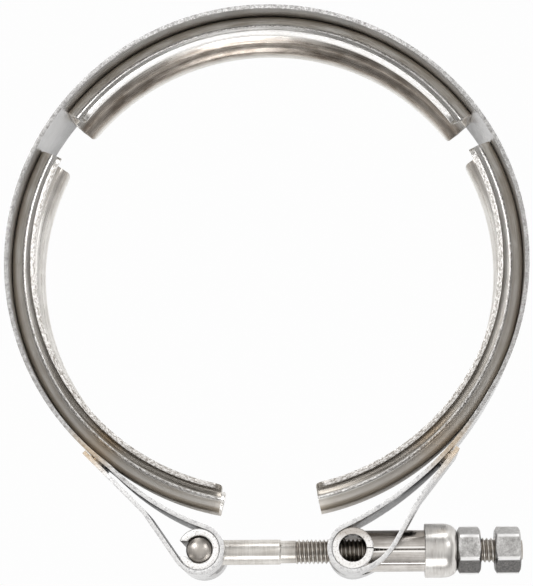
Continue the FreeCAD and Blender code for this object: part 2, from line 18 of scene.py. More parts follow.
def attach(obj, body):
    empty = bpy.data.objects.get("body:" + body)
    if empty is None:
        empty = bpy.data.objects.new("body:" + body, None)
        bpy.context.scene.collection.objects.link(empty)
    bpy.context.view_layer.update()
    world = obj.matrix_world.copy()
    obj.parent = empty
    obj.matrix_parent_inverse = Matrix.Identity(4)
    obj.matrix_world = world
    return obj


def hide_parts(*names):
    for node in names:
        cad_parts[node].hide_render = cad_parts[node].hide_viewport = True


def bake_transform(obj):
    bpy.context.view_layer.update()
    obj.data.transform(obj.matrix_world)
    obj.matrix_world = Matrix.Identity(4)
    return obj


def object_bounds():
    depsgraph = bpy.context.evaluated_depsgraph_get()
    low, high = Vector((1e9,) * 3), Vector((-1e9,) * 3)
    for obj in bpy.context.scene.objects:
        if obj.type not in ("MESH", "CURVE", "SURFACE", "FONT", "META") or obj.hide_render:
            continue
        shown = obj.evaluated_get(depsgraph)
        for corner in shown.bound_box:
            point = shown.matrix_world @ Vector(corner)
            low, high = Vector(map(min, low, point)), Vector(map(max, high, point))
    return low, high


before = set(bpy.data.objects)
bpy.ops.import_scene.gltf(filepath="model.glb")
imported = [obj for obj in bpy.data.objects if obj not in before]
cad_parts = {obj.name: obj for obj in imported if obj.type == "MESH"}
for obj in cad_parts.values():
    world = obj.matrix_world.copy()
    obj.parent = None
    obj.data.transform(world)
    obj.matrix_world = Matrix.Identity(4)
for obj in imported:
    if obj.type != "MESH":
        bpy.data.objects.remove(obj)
cad_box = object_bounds()
MM = 0.001

# %% [markdown]
# ## Sizes
#
# The same numbers that drive the CAD model, in millimetres. The ring's axis is Z, the bolt
# lies along X, and both loops are centred on the bolt's axis.

# %% Sizes of the clamp
BAND_RADIUS, BAND_THICK, BAND_WIDTH = 63.6, 1.0, 22.0
MID_RADIUS = BAND_RADIUS - BAND_THICK / 2
AXIS_Y = -70.57  # of the bolt
LEFT_EYE, RIGHT_EYE = -16.24, 20.11  # the loops' centres
SLEEVE_RADIUS, SLEEVE_BORE, SLEEVE_LENGTH = 4.95, 3.3, 21.6
CLEARANCE = 0.05
LOOP_RADIUS = SLEEVE_RADIUS + CLEARANCE + BAND_THICK / 2
RETAINER_SPAN = 106.4  # degrees
RETAINER_AT = {"top": 88.8, "left": 205.9, "right": -25.1}  # degrees from +X
CAP_START, CAP_LENGTH, CAP_RADIUS, CAP_WALL = 17.2, 7.85, 6.45, 1.2
CAP_END = RIGHT_EYE + CAP_START + CAP_LENGTH
NUT_THICK, LOCK_THICK, NUT_GAP = 5.5, 6.1, 3.4
LOCK_START = CAP_END + NUT_THICK + NUT_GAP
MERGE = 2e-6  # metres: vertices this near become one
SAME_PLACE = 1e-3  # millimetres between a point and its vertex
print("bolt axis at y", AXIS_Y, "cap ends at x", round(CAP_END, 2))

# %% [markdown]
# ## Small helpers
#
# An operator acts on everything that is selected, so each step starts with nothing
# selected. In edit mode the vertices that an operator should move are picked by their place.

# %% Helpers for modelling
def clear_selection():
    """Object mode, with nothing selected."""
    if bpy.context.object and bpy.context.object.mode != "OBJECT":
        edit(False)
    bpy.ops.object.select_all(action="DESELECT")


def choose(obj):
    """Only this object selected, and active."""
    clear_selection()
    obj.select_set(True)
    bpy.context.view_layer.objects.active = obj


def edit(editing=True):
    """Enter edit mode, or leave it."""
    bpy.ops.object.mode_set(mode="EDIT" if editing else "OBJECT")


def pick_all():
    """In edit mode, select everything."""
    bpy.ops.mesh.select_all(action="SELECT")


def pick(obj, test):
    """In edit mode, select the vertices whose place in millimetres passes a test."""
    mesh = bmesh.from_edit_mesh(obj.data)
    bpy.ops.mesh.select_mode(type="VERT")
    bpy.ops.mesh.select_all(action="DESELECT")
    for vert in mesh.verts:
        vert.select = test(vert.co / MM)
    mesh.select_flush(True)
    bmesh.update_edit_mesh(obj.data)


def swing(obj, degrees, axis="Z"):
    """Turn a piece's mesh about an axis through the origin."""
    obj.data.transform(Matrix.Rotation(math.radians(degrees), 4, axis))


def shift(obj, step):
    """Move a piece's mesh by a step in millimetres."""
    obj.data.transform(Matrix.Translation(Vector(step) * MM))


def draw_outline(name, points, closed=True):
    """A wire through points in millimetres: one vertex, extruded from point to point."""
    clear_selection()
    bpy.ops.mesh.primitive_plane_add(size=MM, location=Vector(points[0]) * MM)
    obj = bpy.context.object
    obj.name = name
    bpy.ops.object.transform_apply()
    edit()
    bpy.ops.mesh.select_mode(type="VERT")
    pick_all()
    bpy.ops.mesh.merge(type="CENTER")
    for start, end in zip(points, points[1:]):
        step = (Vector(end) - Vector(start)) * MM
        bpy.ops.mesh.extrude_region_move(TRANSFORM_OT_translate={"value": step})
    if closed:
        ends = [Vector(points[0]), Vector(points[-1])]
        pick(obj, lambda p: min((p - end).length for end in ends) < SAME_PLACE)
        bpy.ops.mesh.edge_face_add()
    pick_all()
    return obj


def spin(centre, axis, degrees, steps):
    """Sweep what is selected round an axis through a centre in millimetres."""
    bpy.ops.mesh.spin(
        steps=steps, angle=-math.radians(degrees), center=Vector(centre) * MM, axis=axis
    )


def close_up(obj):
    """Merge doubles, turn the faces outwards and go back to object mode."""
    pick_all()
    bpy.ops.mesh.remove_doubles(threshold=MERGE)
    pick_all()
    bpy.ops.mesh.normals_make_consistent(inside=False)
    edit(False)
    return obj


def turned(name, points, centre, axis, steps):
    """A lathe piece: an outline in millimetres spun a full turn."""
    obj = draw_outline(name, points)
    spin(centre, axis, 360, steps)
    return close_up(obj)


def modify(obj, kind, **settings):
    """Give a piece a modifier with these settings, and apply it."""
    choose(obj)
    modifier = obj.modifiers.new(kind.lower(), kind)
    for key, value in settings.items():
        setattr(modifier, key, value)
    bpy.ops.object.modifier_apply(modifier=modifier.name)


def cut(obj, tool, operation="DIFFERENCE"):
    """Cut a tool out of a piece, or join or cross the two, and delete the tool."""
    modify(obj, "BOOLEAN", operation=operation, object=tool, solver="EXACT")
    bpy.data.objects.remove(tool)


def shade_smooth(obj, angle):
    """Shade a piece smooth, except over edges sharper than an angle."""
    choose(obj)
    bpy.ops.object.shade_smooth_by_angle(angle=math.radians(angle))


def soften(obj, width, angle, segments=2, smooth=40):
    """Round the edges sharper than an angle, then shade the rest smooth."""
    modify(obj, "BEVEL", width=width * MM, segments=segments, limit_method="ANGLE",
           angle_limit=math.radians(angle))
    shade_smooth(obj, smooth)


def block(name, low, high, round_edges=None, radius=0.0):
    """A cutter: a cube between two corners in millimetres. Edges along one axis may be round."""
    clear_selection()
    bpy.ops.mesh.primitive_cube_add(size=1)
    obj = bpy.context.object
    obj.name = name
    low, high = Vector(low), Vector(high)
    bpy.ops.transform.resize(value=(high - low) * MM)
    bpy.ops.transform.translate(value=(high + low) * MM / 2)
    bpy.ops.object.transform_apply()
    if round_edges is not None:
        edit()
        mesh = bmesh.from_edit_mesh(obj.data)
        bpy.ops.mesh.select_mode(type="EDGE")
        bpy.ops.mesh.select_all(action="DESELECT")
        for edge in mesh.edges:
            along = (edge.verts[0].co - edge.verts[1].co).normalized()
            edge.select = abs(along[round_edges]) > 0.9
        bmesh.update_edit_mesh(obj.data)
        bpy.ops.mesh.bevel(offset=radius * MM, segments=8, affect="EDGES")
        edit(False)
    return obj


def report(obj):
    """Print how large a piece is."""
    corners = [v.co / MM for v in obj.data.vertices]
    low = [round(min(c[k] for c in corners), 1) for k in range(3)]
    high = [round(max(c[k] for c in corners), 1) for k in range(3)]
    print(f"{obj.name}: {len(obj.data.polygons)} faces, {low} to {high} mm")


# %% [markdown]
# ## The band
#
# One strip of sheet, 22 mm wide and 1 mm thick. It makes the ring, leaves it on a sweep,
# loops round a sleeve, and comes back to the ring as a short welded tail. The strip is a
# row of arcs and straight runs that meet without a corner, so its section is spun round
# one arc after another, as it would be in a bending jig.

# %% The strip's route
def heading(degrees):
    """The unit vector at an angle from +X."""
    return Vector((math.cos(math.radians(degrees)), math.sin(math.radians(degrees)), 0))


def left_of(direction):
    """The direction a quarter turn to the left."""
    return Vector((-direction.y, direction.x, 0))


def turn_between(centre, start, end, way):
    """The angle swept from start to end round a centre, the given way round."""
    first, last = start - centre, end - centre
    angle = math.degrees(math.atan2(last.y, last.x) - math.atan2(first.y, first.x))
    return angle % 360 if way > 0 else -((-angle) % 360)


def strip_route(eye_x, depart, lead, exit_turn, exit_radius, tail_end, lift, lean, tail_run):
    """The runs from the ring to a tail's end, drawn for the left: (centre, turn) or (None, step).

    The strip leaves the ring `depart` degrees from the bottom on a small outward bend, the
    joggle, and sweeps to the loop on the `lead` radius. It leaves the loop after `exit_turn`
    on `exit_radius` and ends `tail_end` degrees from the bottom, `lift` over the ring.
    """
    joggle, bend = 15.0, 10.0
    eye = Vector((-abs(eye_x), AXIS_Y, 0))
    away = heading(270 - depart)
    leave = away * MID_RADIUS
    joggle_centre = away * (MID_RADIUS + joggle)
    between = eye - joggle_centre
    along = ((lead + joggle) ** 2 - (lead + LOOP_RADIUS) ** 2 + between.length**2) / 2
    along /= between.length
    across = math.sqrt((lead + joggle) ** 2 - along**2)
    unit = between.normalized()
    sides = [joggle_centre + unit * along + left_of(unit) * across * s for s in (1, -1)]
    lead_centre = min(sides, key=lambda point: point.length)
    lead_start = joggle_centre + (lead_centre - joggle_centre).normalized() * joggle
    loop_start = eye + (lead_centre - eye).normalized() * LOOP_RADIUS

    opening = heading(270 - exit_turn)
    loop_end = eye + opening * LOOP_RADIUS
    out_centre = eye - opening * (exit_radius - LOOP_RADIUS)
    end = heading(270 - tail_end) * (MID_RADIUS + BAND_THICK + lift)
    tail = heading(180 - tail_end - lean)
    bend_end = end - tail * tail_run
    bend_centre = bend_end + left_of(tail) * bend
    between = bend_centre - out_centre
    straight = math.sqrt(between.length**2 - (exit_radius + bend) ** 2)
    angle = math.atan2(between.y, between.x) - math.atan2(exit_radius + bend, straight)
    run = heading(math.degrees(angle))
    out_end = out_centre + left_of(run) * exit_radius
    bend_start = bend_centre - left_of(run) * bend
    return leave, [
        (joggle_centre, turn_between(joggle_centre, leave, lead_start, -1)),
        (lead_centre, turn_between(lead_centre, lead_start, loop_start, 1)),
        (eye, turn_between(eye, loop_start, loop_end, -1)),
        (out_centre, turn_between(out_centre, loop_end, out_end, -1)),
        (None, bend_start - out_end),
        (bend_centre, turn_between(bend_centre, bend_start, bend_end, 1)),
        (None, end - bend_end),
    ], end


LEFT_RUN = strip_route(LEFT_EYE, depart=37.5, lead=60.0, exit_turn=23.0, exit_radius=6.6,
                       tail_end=42.8, lift=0.2, lean=2.3, tail_run=19.4)
RIGHT_RUN = strip_route(RIGHT_EYE, depart=58.0, lead=80.0, exit_turn=14.0, exit_radius=14.0,
                        tail_end=44.0, lift=1.25, lean=7.7, tail_run=13.5)
for side, runs in (("left", LEFT_RUN), ("right", RIGHT_RUN)):
    print(side, [round(r[1], 1) if r[0] else round(r[1].length, 1) for r in runs[1]])

# %% [markdown]
# The section is a plane squeezed to 1 by 22 mm with its face deleted, so only its four
# edges are swept and no wall is left inside. The ring comes first, then each end from
# where the ring stops. The last edges are filled to close the strip.

# %% Sweep the strip
RING_STEPS = 181
WIDE_STEP, TIGHT_STEP = 1.5, 8  # degrees to a facet
WIDE_REACH = 25  # a wide sweep's centre lies this near the ring's


def follow(obj, runs, mirror):
    """Sweep the selected section along runs, mirrored in X for the right-hand side."""
    for centre, turn in runs:
        if centre is None:
            step = Vector((mirror * turn.x, turn.y, 0)) * MM
            bpy.ops.mesh.extrude_region_move(TRANSFORM_OT_translate={"value": step})
        else:
            facet = WIDE_STEP if centre.length < WIDE_REACH else TIGHT_STEP
            steps = max(2, round(abs(turn) / facet))
            spin((mirror * centre.x, centre.y, 0), (0, 0, mirror), turn, steps)


def strip_section(at):
    """The strip's section where the ring stops: a plane across the ring, with no face."""
    clear_selection()
    bpy.ops.mesh.primitive_plane_add(size=1)
    obj = bpy.context.object
    bpy.ops.transform.resize(value=(BAND_THICK * MM, BAND_WIDTH * MM, 1))
    bpy.ops.object.transform_apply()
    edit()
    pick_all()
    bpy.ops.mesh.delete(type="ONLY_FACE")
    edit(False)
    swing(obj, 90, "X")
    swing(obj, math.degrees(math.atan2(at.y, at.x)))
    shift(obj, at)
    return obj


def pick_section(obj, at):
    """Select the strip's section at a point of its middle."""
    pick(obj, lambda p: (Vector((p.x, p.y, 0)) - at).length < BAND_THICK * 0.6)


def sweep_strip():
    """The whole strip: the ring, then both ends."""
    left_stop, left_runs, left_end = LEFT_RUN
    right_stop, right_runs, right_end = RIGHT_RUN
    start = Vector((-right_stop.x, right_stop.y, 0))
    obj = strip_section(start)
    obj.name = "band_whole"
    choose(obj)
    edit()
    pick_all()
    turn = turn_between(Vector(), start, left_stop, 1)
    spin((0, 0, 0), (0, 0, 1), turn, RING_STEPS)
    follow(obj, left_runs, 1)
    pick_section(obj, start)
    follow(obj, right_runs, -1)
    for end in (left_end, Vector((-right_end.x, right_end.y, 0))):
        pick_section(obj, end)
        bpy.ops.mesh.edge_face_add()
    return close_up(obj)


band = sweep_strip()
report(band)

# %% [markdown]
# ## Slots and welds
#
# The bolt passes through both loops and the barrel through the right tail, so the strip is
# slotted there. Each slot was punched in the flat strip, so it ends in a half round. A
# cutter with two rounded edges leaves the same end when it is pushed through the wall.
# The spot welds are short plugs of steel between each tail and the ring.

# %% Punch the slots and set the welds
SLOT_HALF, SLOT_REACH, SLOT_NEAR, SLOT_FAR, SLOT_ROUND = 3.8, 7.5, 1.6, 14, 3.7
TAIL_SLOT_LOW, TAIL_SLOT_HIGH, TAIL_SLOT_ROUND = (-10.2, -4, -5.3), (9.8, 4, 5.3), 5.2
TAIL_SLOT_TURN, TAIL_SLOT_AT = 59.9, (30.6, -69.2, 0)
WELD_RADIUS, WELD_ROWS = 2.2, (-5.5, 5.5)
WELDS = ((-40.0, MID_RADIUS, 1.12), (41.3, 64.2, 1.45))  # degrees off the bottom, start, depth


def punch_loop_slots(obj):
    """Slots for the bolt: the right half of the left loop, the left half of the right loop."""
    for eye, side in ((LEFT_EYE, 1), (RIGHT_EYE, -1)):
        start, end = sorted((eye + side * SLOT_NEAR, eye + side * SLOT_FAR))
        cut(obj, block("slot", (start, AXIS_Y - SLOT_REACH, -SLOT_HALF),
                       (end, AXIS_Y + SLOT_REACH, SLOT_HALF), 1, SLOT_ROUND))


def punch_tail_slot(obj):
    """The slot for the barrel, along the right tail: a cutter turned to lie along it."""
    tool = block("slot", TAIL_SLOT_LOW, TAIL_SLOT_HIGH, 1, TAIL_SLOT_ROUND)
    swing(tool, TAIL_SLOT_TURN)
    shift(tool, TAIL_SLOT_AT)
    cut(obj, tool)


def add_welds(obj):
    """Plugs from inside the strip to inside the tail that lies on it, two to a tail."""
    for at, radius, depth in WELDS:
        for row in WELD_ROWS:
            plug = turned("weld", [
                (0, 0, 0), (WELD_RADIUS, 0, 0), (WELD_RADIUS, depth, 0), (0, depth, 0),
            ], (0, 0, 0), (0, 1, 0), 24)
            swing(plug, at - 180)
            shift(plug, heading(at - 90) * radius + Vector((0, 0, row)))
            cut(obj, plug, "UNION")


punch_loop_slots(band)
punch_tail_slot(band)
add_welds(band)
soften(band, 0.14, angle=50)
report(band)

# %% [markdown]
# ## Two halves of the band
#
# Tightening bends the strip in its two bare stretches, between the top retainer and its
# neighbours. The band is cut into two halves at the top, where nothing bends, inside a flat
# facet so that the shading runs across it unbroken.

# %% Split the band at the top
def half_of_band(name, keep):
    """A copy of the band on one side of X = 0, cut there and closed."""
    half = band.copy()
    half.data = band.data.copy()
    half.name = name
    bpy.context.collection.objects.link(half)
    choose(half)
    edit()
    pick_all()
    bpy.ops.mesh.bisect(plane_co=(0, 0, 0), plane_no=(keep, 0, 0), use_fill=True,
                        clear_inner=True)
    edit(False)
    shade_smooth(half, 40)
    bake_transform(half)
    report(half)
    return half


band_left = half_of_band("band_left", -1)
band_right = half_of_band("band_right", 1)
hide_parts("band")
bpy.data.objects.remove(band)

# %% [markdown]
# ## The retainers
#
# Each retainer is rolled from 1.2 mm sheet: a back against the band, two legs that flare
# inwards and make the V, a small bead along each leg, and a lip turned up at each edge.
# Only the outer surface is drawn, as half a section. Its corners are bevelled into bend
# radii, it is spun through the retainer's angle, mirrored, and given its thickness.

# %% Roll a retainer
BACK_RADIUS = BAND_RADIUS - BAND_THICK - CLEARANCE
SHEET = 1.2
BEAD_RADIUS = BACK_RADIUS - 3.15
BEAD_HALF, BEAD_HEIGHT = 0.5, 0.3
LIP_BACK = BACK_RADIUS - 6.35 + SHEET
HALF_BACK, LIP_TOP = 4.9, 9.6
LEG_ANGLE, FLARE_ANGLE = 30, 38
BACK_BEND, LIP_BEND, BEAD_BEND = (0.95, 5), (0.7, 4), (0.22, 3)  # radius, facets
RETAINER_STEPS = 80
CORNER_RADIUS, CORNER_EASE = 2.6, 8.0


def leg_height(radius):
    """Height of a leg's outer surface over the middle plane."""
    leg, flare = (math.tan(math.radians(angle)) for angle in (LEG_ANGLE, FLARE_ANGLE))
    upper = HALF_BACK + (BACK_RADIUS - max(radius, BEAD_RADIUS)) * leg
    return upper + max(0.0, BEAD_RADIUS - radius) * flare


def bend_corner(obj, corner, radius, facets):
    """Bevel the outline's vertex at a corner into a bend."""
    pick(obj, lambda p: (p - Vector(corner)).length < SAME_PLACE)
    bpy.ops.mesh.bevel(offset=radius * MM, segments=facets, affect="VERTICES")


def roll_retainer(name, at):
    """One retainer, in its place on the ring."""
    corner, lip_bend = (BACK_RADIUS, 0, HALF_BACK), (LIP_BACK, 0, leg_height(LIP_BACK))
    bead = (BEAD_RADIUS, 0, leg_height(BEAD_RADIUS) + BEAD_HEIGHT)
    feet = [(radius, 0, leg_height(radius))
            for radius in (BEAD_RADIUS + BEAD_HALF, BEAD_RADIUS - BEAD_HALF)]
    obj = draw_outline(name, [
        (BACK_RADIUS, 0, 0), corner, feet[0], bead, feet[1], lip_bend, (LIP_BACK, 0, LIP_TOP),
    ], closed=False)
    bend_corner(obj, corner, *BACK_BEND)
    bend_corner(obj, lip_bend, *LIP_BEND)
    bend_corner(obj, bead, *BEAD_BEND)
    pick_all()
    spin((0, 0, 0), (0, 0, 1), RETAINER_SPAN, RETAINER_STEPS)
    close_up(obj)
    swing(obj, at - RETAINER_SPAN / 2)
    modify(obj, "MIRROR", use_axis=(False, False, True), merge_threshold=MERGE)
    edit()
    close_up(obj)
    face_outwards(obj)
    modify(obj, "SOLIDIFY", thickness=SHEET * MM, offset=-1, use_even_offset=True)
    round_lip_corners(obj, at)
    return obj


def face_outwards(obj):
    """An open sheet has no inside: turn it so that the back's normals point off the axis."""
    back = max(obj.data.polygons, key=lambda p: Vector(p.center).xy.length)
    if Vector(back.normal).xy.dot(Vector(back.center).xy) < 0:
        obj.data.flip_normals()


def round_lip_corners(obj, at):
    """Draw the lips' corners back in a round at both ends, and ease what lies behind them."""
    for vert in obj.data.vertices:
        around = (math.degrees(math.atan2(vert.co.y, vert.co.x)) - at + 180) % 360 - 180
        from_end = math.radians(RETAINER_SPAN / 2 - abs(around)) * LIP_BACK
        below_top = LIP_TOP - abs(vert.co.z) / MM
        if from_end > CORNER_EASE or below_top > CORNER_RADIUS:
            continue
        rise = CORNER_RADIUS - below_top
        short = CORNER_RADIUS - math.sqrt(max(0.0, CORNER_RADIUS**2 - rise**2))
        moved = short * (1 - from_end / CORNER_EASE) / LIP_BACK
        vert.co = Matrix.Rotation(-math.copysign(moved, around), 3, "Z") @ vert.co


retainers = []
for place, at in RETAINER_AT.items():
    piece = roll_retainer(f"retainer_{place}_rolled", at)
    soften(piece, 0.13, angle=50, smooth=35)
    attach(piece, {"top": "clamp_ring", "left": "left_side", "right": "right_side"}[place])
    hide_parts(f"retainer_{place}")
    retainers.append(piece)
    report(piece)

# %% [markdown]
# ## The T-bolt
#
# The shank is turned: full size near the head, then a neck, then the thread. Its head is a
# cross bar with domed ends that lies in the left loop's sleeve. The thread is real: one
# pitch of its outline, wound along the axis by a Screw modifier, and then crossed with a
# turned blank whose chamfers give it its run-out and its tip.

# %% Turn the shank and cut the thread
SHANK_END, THREAD_START, BOLT_END = 18.9, 22.9, 76.9
SHANK_RADIUS, NECK_RADIUS, HOLE_RADIUS = 3.0, 2.7, 3.3
THREAD_RADIUS, THREAD_ROOT, PITCH = 2.95, 2.4, 1.0
THREAD_STEPS, THREAD_OVERRUN = 28, 2
BAR_END_OUTLINE = [(0, -9.7), (0.95, -9.62), (2.1, -9.3), (2.85, -8.85), (3.15, -8.3)]


def along_bolt(points, from_x=LEFT_EYE):
    """Outline points (distance along the bolt, radius) as points in the clamp's frame."""
    return [(from_x + x, AXIS_Y + radius, 0) for x, radius in points]


def lathe(name, points, from_x=LEFT_EYE, steps=72):
    """A piece turned about the bolt's axis."""
    return turned(name, along_bolt(points, from_x), (0, AXIS_Y, 0), (1, 0, 0), steps)


def rod(name, start, end, radius, from_x=LEFT_EYE, steps=48):
    """A plain round bar along the bolt's axis."""
    return lathe(name, [(start, 0), (start, radius), (end, radius), (end, 0)], from_x, steps)


def upright(name, lower, eye, steps):
    """A piece turned about an eye's axis, from the lower half of its outline as (radius,
    height). The upper half is its mirror image."""
    upper = [(radius, -height) for radius, height in reversed(lower)]
    outline = [(eye + radius, AXIS_Y, height) for radius, height in (*lower, *upper)]
    return turned(name, outline, (eye, AXIS_Y, 0), (0, 0, 1), steps)


def wind_thread():
    """The thread, from before its start to past the bolt's end, closed at both ends."""
    clear_selection()
    start = THREAD_START - THREAD_OVERRUN
    turns = int(BOLT_END + THREAD_OVERRUN - start)
    ridge = [(start, THREAD_ROOT), (start + 0.12, THREAD_ROOT), (start + 0.5, THREAD_RADIUS),
             (start + 0.62, THREAD_RADIUS), (start + PITCH, THREAD_ROOT)]
    obj = draw_outline("thread", along_bolt(ridge), closed=False)
    edit(False)
    shift(obj, (0, -AXIS_Y, 0))
    modify(obj, "SCREW", axis="X", screw_offset=PITCH * MM, iterations=turns, steps=THREAD_STEPS,
           render_steps=THREAD_STEPS, use_merge_vertices=True, merge_threshold=MERGE)
    shift(obj, (0, AXIS_Y, 0))
    edit()
    for x, way in ((THREAD_START - 0.6, -1), (BOLT_END + 0.4, 1)):
        pick_all()
        bpy.ops.mesh.remove_doubles(threshold=MERGE)
        pick_all()
        bpy.ops.mesh.bisect(plane_co=((LEFT_EYE + x) * MM, 0, 0), plane_no=(way, 0, 0),
                            use_fill=True, clear_outer=True)
    return close_up(obj)


thread = wind_thread()
blank = lathe("blank", [
    (THREAD_START - 0.5, 0), (THREAD_START - 0.5, THREAD_ROOT),
    (THREAD_START + 0.1, THREAD_RADIUS + 0.05), (BOLT_END - 0.75, THREAD_RADIUS + 0.05),
    (BOLT_END, THREAD_ROOT - 0.15), (BOLT_END, 0),
])
cut(thread, blank, "INTERSECT")
report(thread)

shank = lathe("t_bolt_turned", [
    (0, 0), (0, SHANK_RADIUS), (SHANK_END - 0.15, SHANK_RADIUS), (SHANK_END, SHANK_RADIUS - 0.05),
    (SHANK_END + 0.3, NECK_RADIUS), (THREAD_START - 0.3, NECK_RADIUS),
    (THREAD_START - 0.05, THREAD_ROOT + 0.1),
    (THREAD_START + 0.6, THREAD_ROOT + 0.02), (THREAD_START + 0.6, 0),
])
cut(shank, upright("bar", BAR_END_OUTLINE, LEFT_EYE, 64), "UNION")
cut(shank, thread, "UNION")
shade_smooth(shank, 28)
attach(shank, "bolt")
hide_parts("t_bolt")
report(shank)

# %% [markdown]
# ## Sleeve and trunnion
#
# The left loop holds a sleeve rolled from sheet that stays open on its far side. The right
# loop holds the trunnion: an eye from which a barrel runs along the bolt, in two halves that
# meet in a seam on the front and on the back. Beside the eye the halves part in a small
# wedge. Tubes are turned, joined and bored, as one would make them on a lathe.

# %% Roll the sleeve
SLEEVE_EDGE, OPENING_HALF, OPENING_AT = 0.25, 1.85, 177
PAST_LOW, PAST_HIGH = -12, 12  # cutters reach past the sleeve's ends


def tube_outline(inner):
    """The lower half of a sleeve's or an eye's outline, its edges taken off."""
    outer, low, edge = SLEEVE_RADIUS, -SLEEVE_LENGTH / 2, SLEEVE_EDGE
    return [(inner, low + edge), (inner + edge, low), (outer - edge, low), (outer, low + edge)]


sleeve = upright("bolt_sleeve_rolled", tube_outline(SLEEVE_BORE), LEFT_EYE, 80)
opening = block("opening", (0, -OPENING_HALF, PAST_LOW), (9, OPENING_HALF, PAST_HIGH))
swing(opening, OPENING_AT)
shift(opening, (LEFT_EYE, AXIS_Y, 0))
cut(sleeve, opening)
cut(sleeve, rod("shank_hole", 0, 9, HOLE_RADIUS))
soften(sleeve, 0.12, angle=40)
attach(sleeve, "bolt")
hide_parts("bolt_sleeve")
report(sleeve)

# %% [markdown]
# The trunnion is one stamping. A solid eye and a solid barrel are joined first and then
# bored, one way for the bolt and the other for the eye. Last comes the parting: a thin
# blade through the whole barrel, and a wedge beside the eye that ends in a line.

# %% Make the trunnion
BARREL_RADIUS, BARREL_BORE, BARREL_START, BARREL_END = 4.95, 3.4, 2.2, 22.6
EYE_CORE, PARTING = 0.5, 0.12
WEDGE_LOW, WEDGE_HIGH, WEDGE_TIP = (3.9, -0.5, 2.5), (9.4, 0.5, 5.2), 0.08


def make_trunnion():
    """Eye and barrel, bored both ways and parted along the seam."""
    eye = upright("trunnion_split", tube_outline(EYE_CORE), RIGHT_EYE, 96)
    cut(eye, rod("barrel", BARREL_START, BARREL_END, BARREL_RADIUS, RIGHT_EYE, 80), "UNION")
    cut(eye, rod("bolt_way", -7, BARREL_END + 1, BARREL_BORE, RIGHT_EYE, 64))
    cut(eye, upright("eye_way", [(0, -13), (SLEEVE_BORE, -13)], RIGHT_EYE, 80))
    cut(eye, block("seam", (RIGHT_EYE + 1, AXIS_Y - PARTING, -13),
                   (RIGHT_EYE + 24, AXIS_Y + PARTING, 13)))
    cut(eye, seam_wedge())
    return eye


def seam_wedge():
    """A cutter for the parting beside the eye: a cube with its far end drawn to a line."""
    centre = Vector((RIGHT_EYE, AXIS_Y, 0))
    wedge = block("wedge", centre + Vector(WEDGE_LOW), centre + Vector(WEDGE_HIGH))
    choose(wedge)
    edit()
    pick(wedge, lambda p: p.x > RIGHT_EYE + 9)
    bpy.ops.transform.resize(value=(1, WEDGE_TIP, 1), center_override=centre * MM)
    edit(False)
    return wedge


trunnion = make_trunnion()
soften(trunnion, 0.28, angle=40, segments=4)
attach(trunnion, "trunnion")
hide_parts("split_trunnion")
report(trunnion)

# %% [markdown]
# ## Cap and nuts
#
# The cap is drawn from sheet: its rim is open towards the trunnion and its dome meets the
# clamping nut. Both nuts are hexagon prisms crossed with a turned blank, which is what
# gives a nut the curved edges at its corners, then bored and countersunk.

# %% Draw the cap and mill the nuts
CAP_STRAIGHT, CAP_HOLE, DOME_STEPS = 4.4, 3.25, 8
CAP_FACE, CAP_INNER_FACE = 3.9, 3.36
NUT_FLATS, NUT_CHAMFER, NUT_TURN = 10.0, 0.6, 55.0
NUT_BORE, NUT_MOUTH, NUT_FLARE, MOUTH_DEPTH = 3.0, 3.5, 4.0, 0.55


def dome(radius, face, length):
    """A dome's outline: a quarter ellipse from the straight wall to the flat face."""
    points = []
    for step in range(DOME_STEPS + 1):
        angle = math.radians(90 * step / DOME_STEPS)
        points.append((CAP_STRAIGHT + (length - CAP_STRAIGHT) * math.sin(angle),
                       face + (radius - face) * math.cos(angle)))
    return points


inside, floor_at = CAP_RADIUS - CAP_WALL, CAP_LENGTH - CAP_WALL
cap = lathe("cap_domed", [
    (0.12, CAP_RADIUS), *dome(CAP_RADIUS, CAP_FACE, CAP_LENGTH), (CAP_LENGTH, CAP_HOLE),
    (floor_at, CAP_HOLE), *reversed(dome(inside, CAP_INNER_FACE, floor_at)),
    (0.12, inside), (0, inside + 0.15), (0, CAP_RADIUS - 0.15),
], RIGHT_EYE + CAP_START, 96)
shade_smooth(cap, 35)
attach(cap, "cap")
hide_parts("domed_cap")
report(cap)


def mill_nut(name, start, thick, body):
    """A hexagon nut, its near face at `start` along X."""
    corner, chamfer = NUT_FLATS / 2 / math.cos(math.radians(30)), NUT_CHAMFER
    clear_selection()
    bpy.ops.mesh.primitive_cylinder_add(vertices=6, radius=corner * MM, depth=(thick + 2) * MM)
    nut = bpy.context.object
    nut.name = name
    swing(nut, 90, "Y")
    swing(nut, NUT_TURN, "X")
    shift(nut, (start + thick / 2, AXIS_Y, 0))
    edge = corner - chamfer / math.tan(math.radians(30))
    cut(nut, lathe("blank", [
        (0, 0), (0, edge), (chamfer, corner), (chamfer + 0.01, corner + 0.5),
        (thick - chamfer - 0.01, corner + 0.5), (thick - chamfer, corner), (thick, edge),
        (thick, 0)], start, 96), "INTERSECT")
    cut(nut, lathe("bore", [
        (-1, 0), (-1, NUT_FLARE), (0, NUT_MOUTH), (MOUTH_DEPTH, NUT_BORE),
        (thick - MOUTH_DEPTH, NUT_BORE), (thick, NUT_MOUTH), (thick + 1, NUT_FLARE),
        (thick + 1, 0)], start, 48))
    soften(nut, 0.16, angle=22, smooth=25)
    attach(nut, body)
    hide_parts(name.replace("_milled", ""))
    report(nut)
    return nut


clamp_nut = mill_nut("clamp_nut_milled", CAP_END, NUT_THICK, "nut")
lock_nut = mill_nut("lock_nut_milled", LOCK_START, LOCK_THICK, "lock")
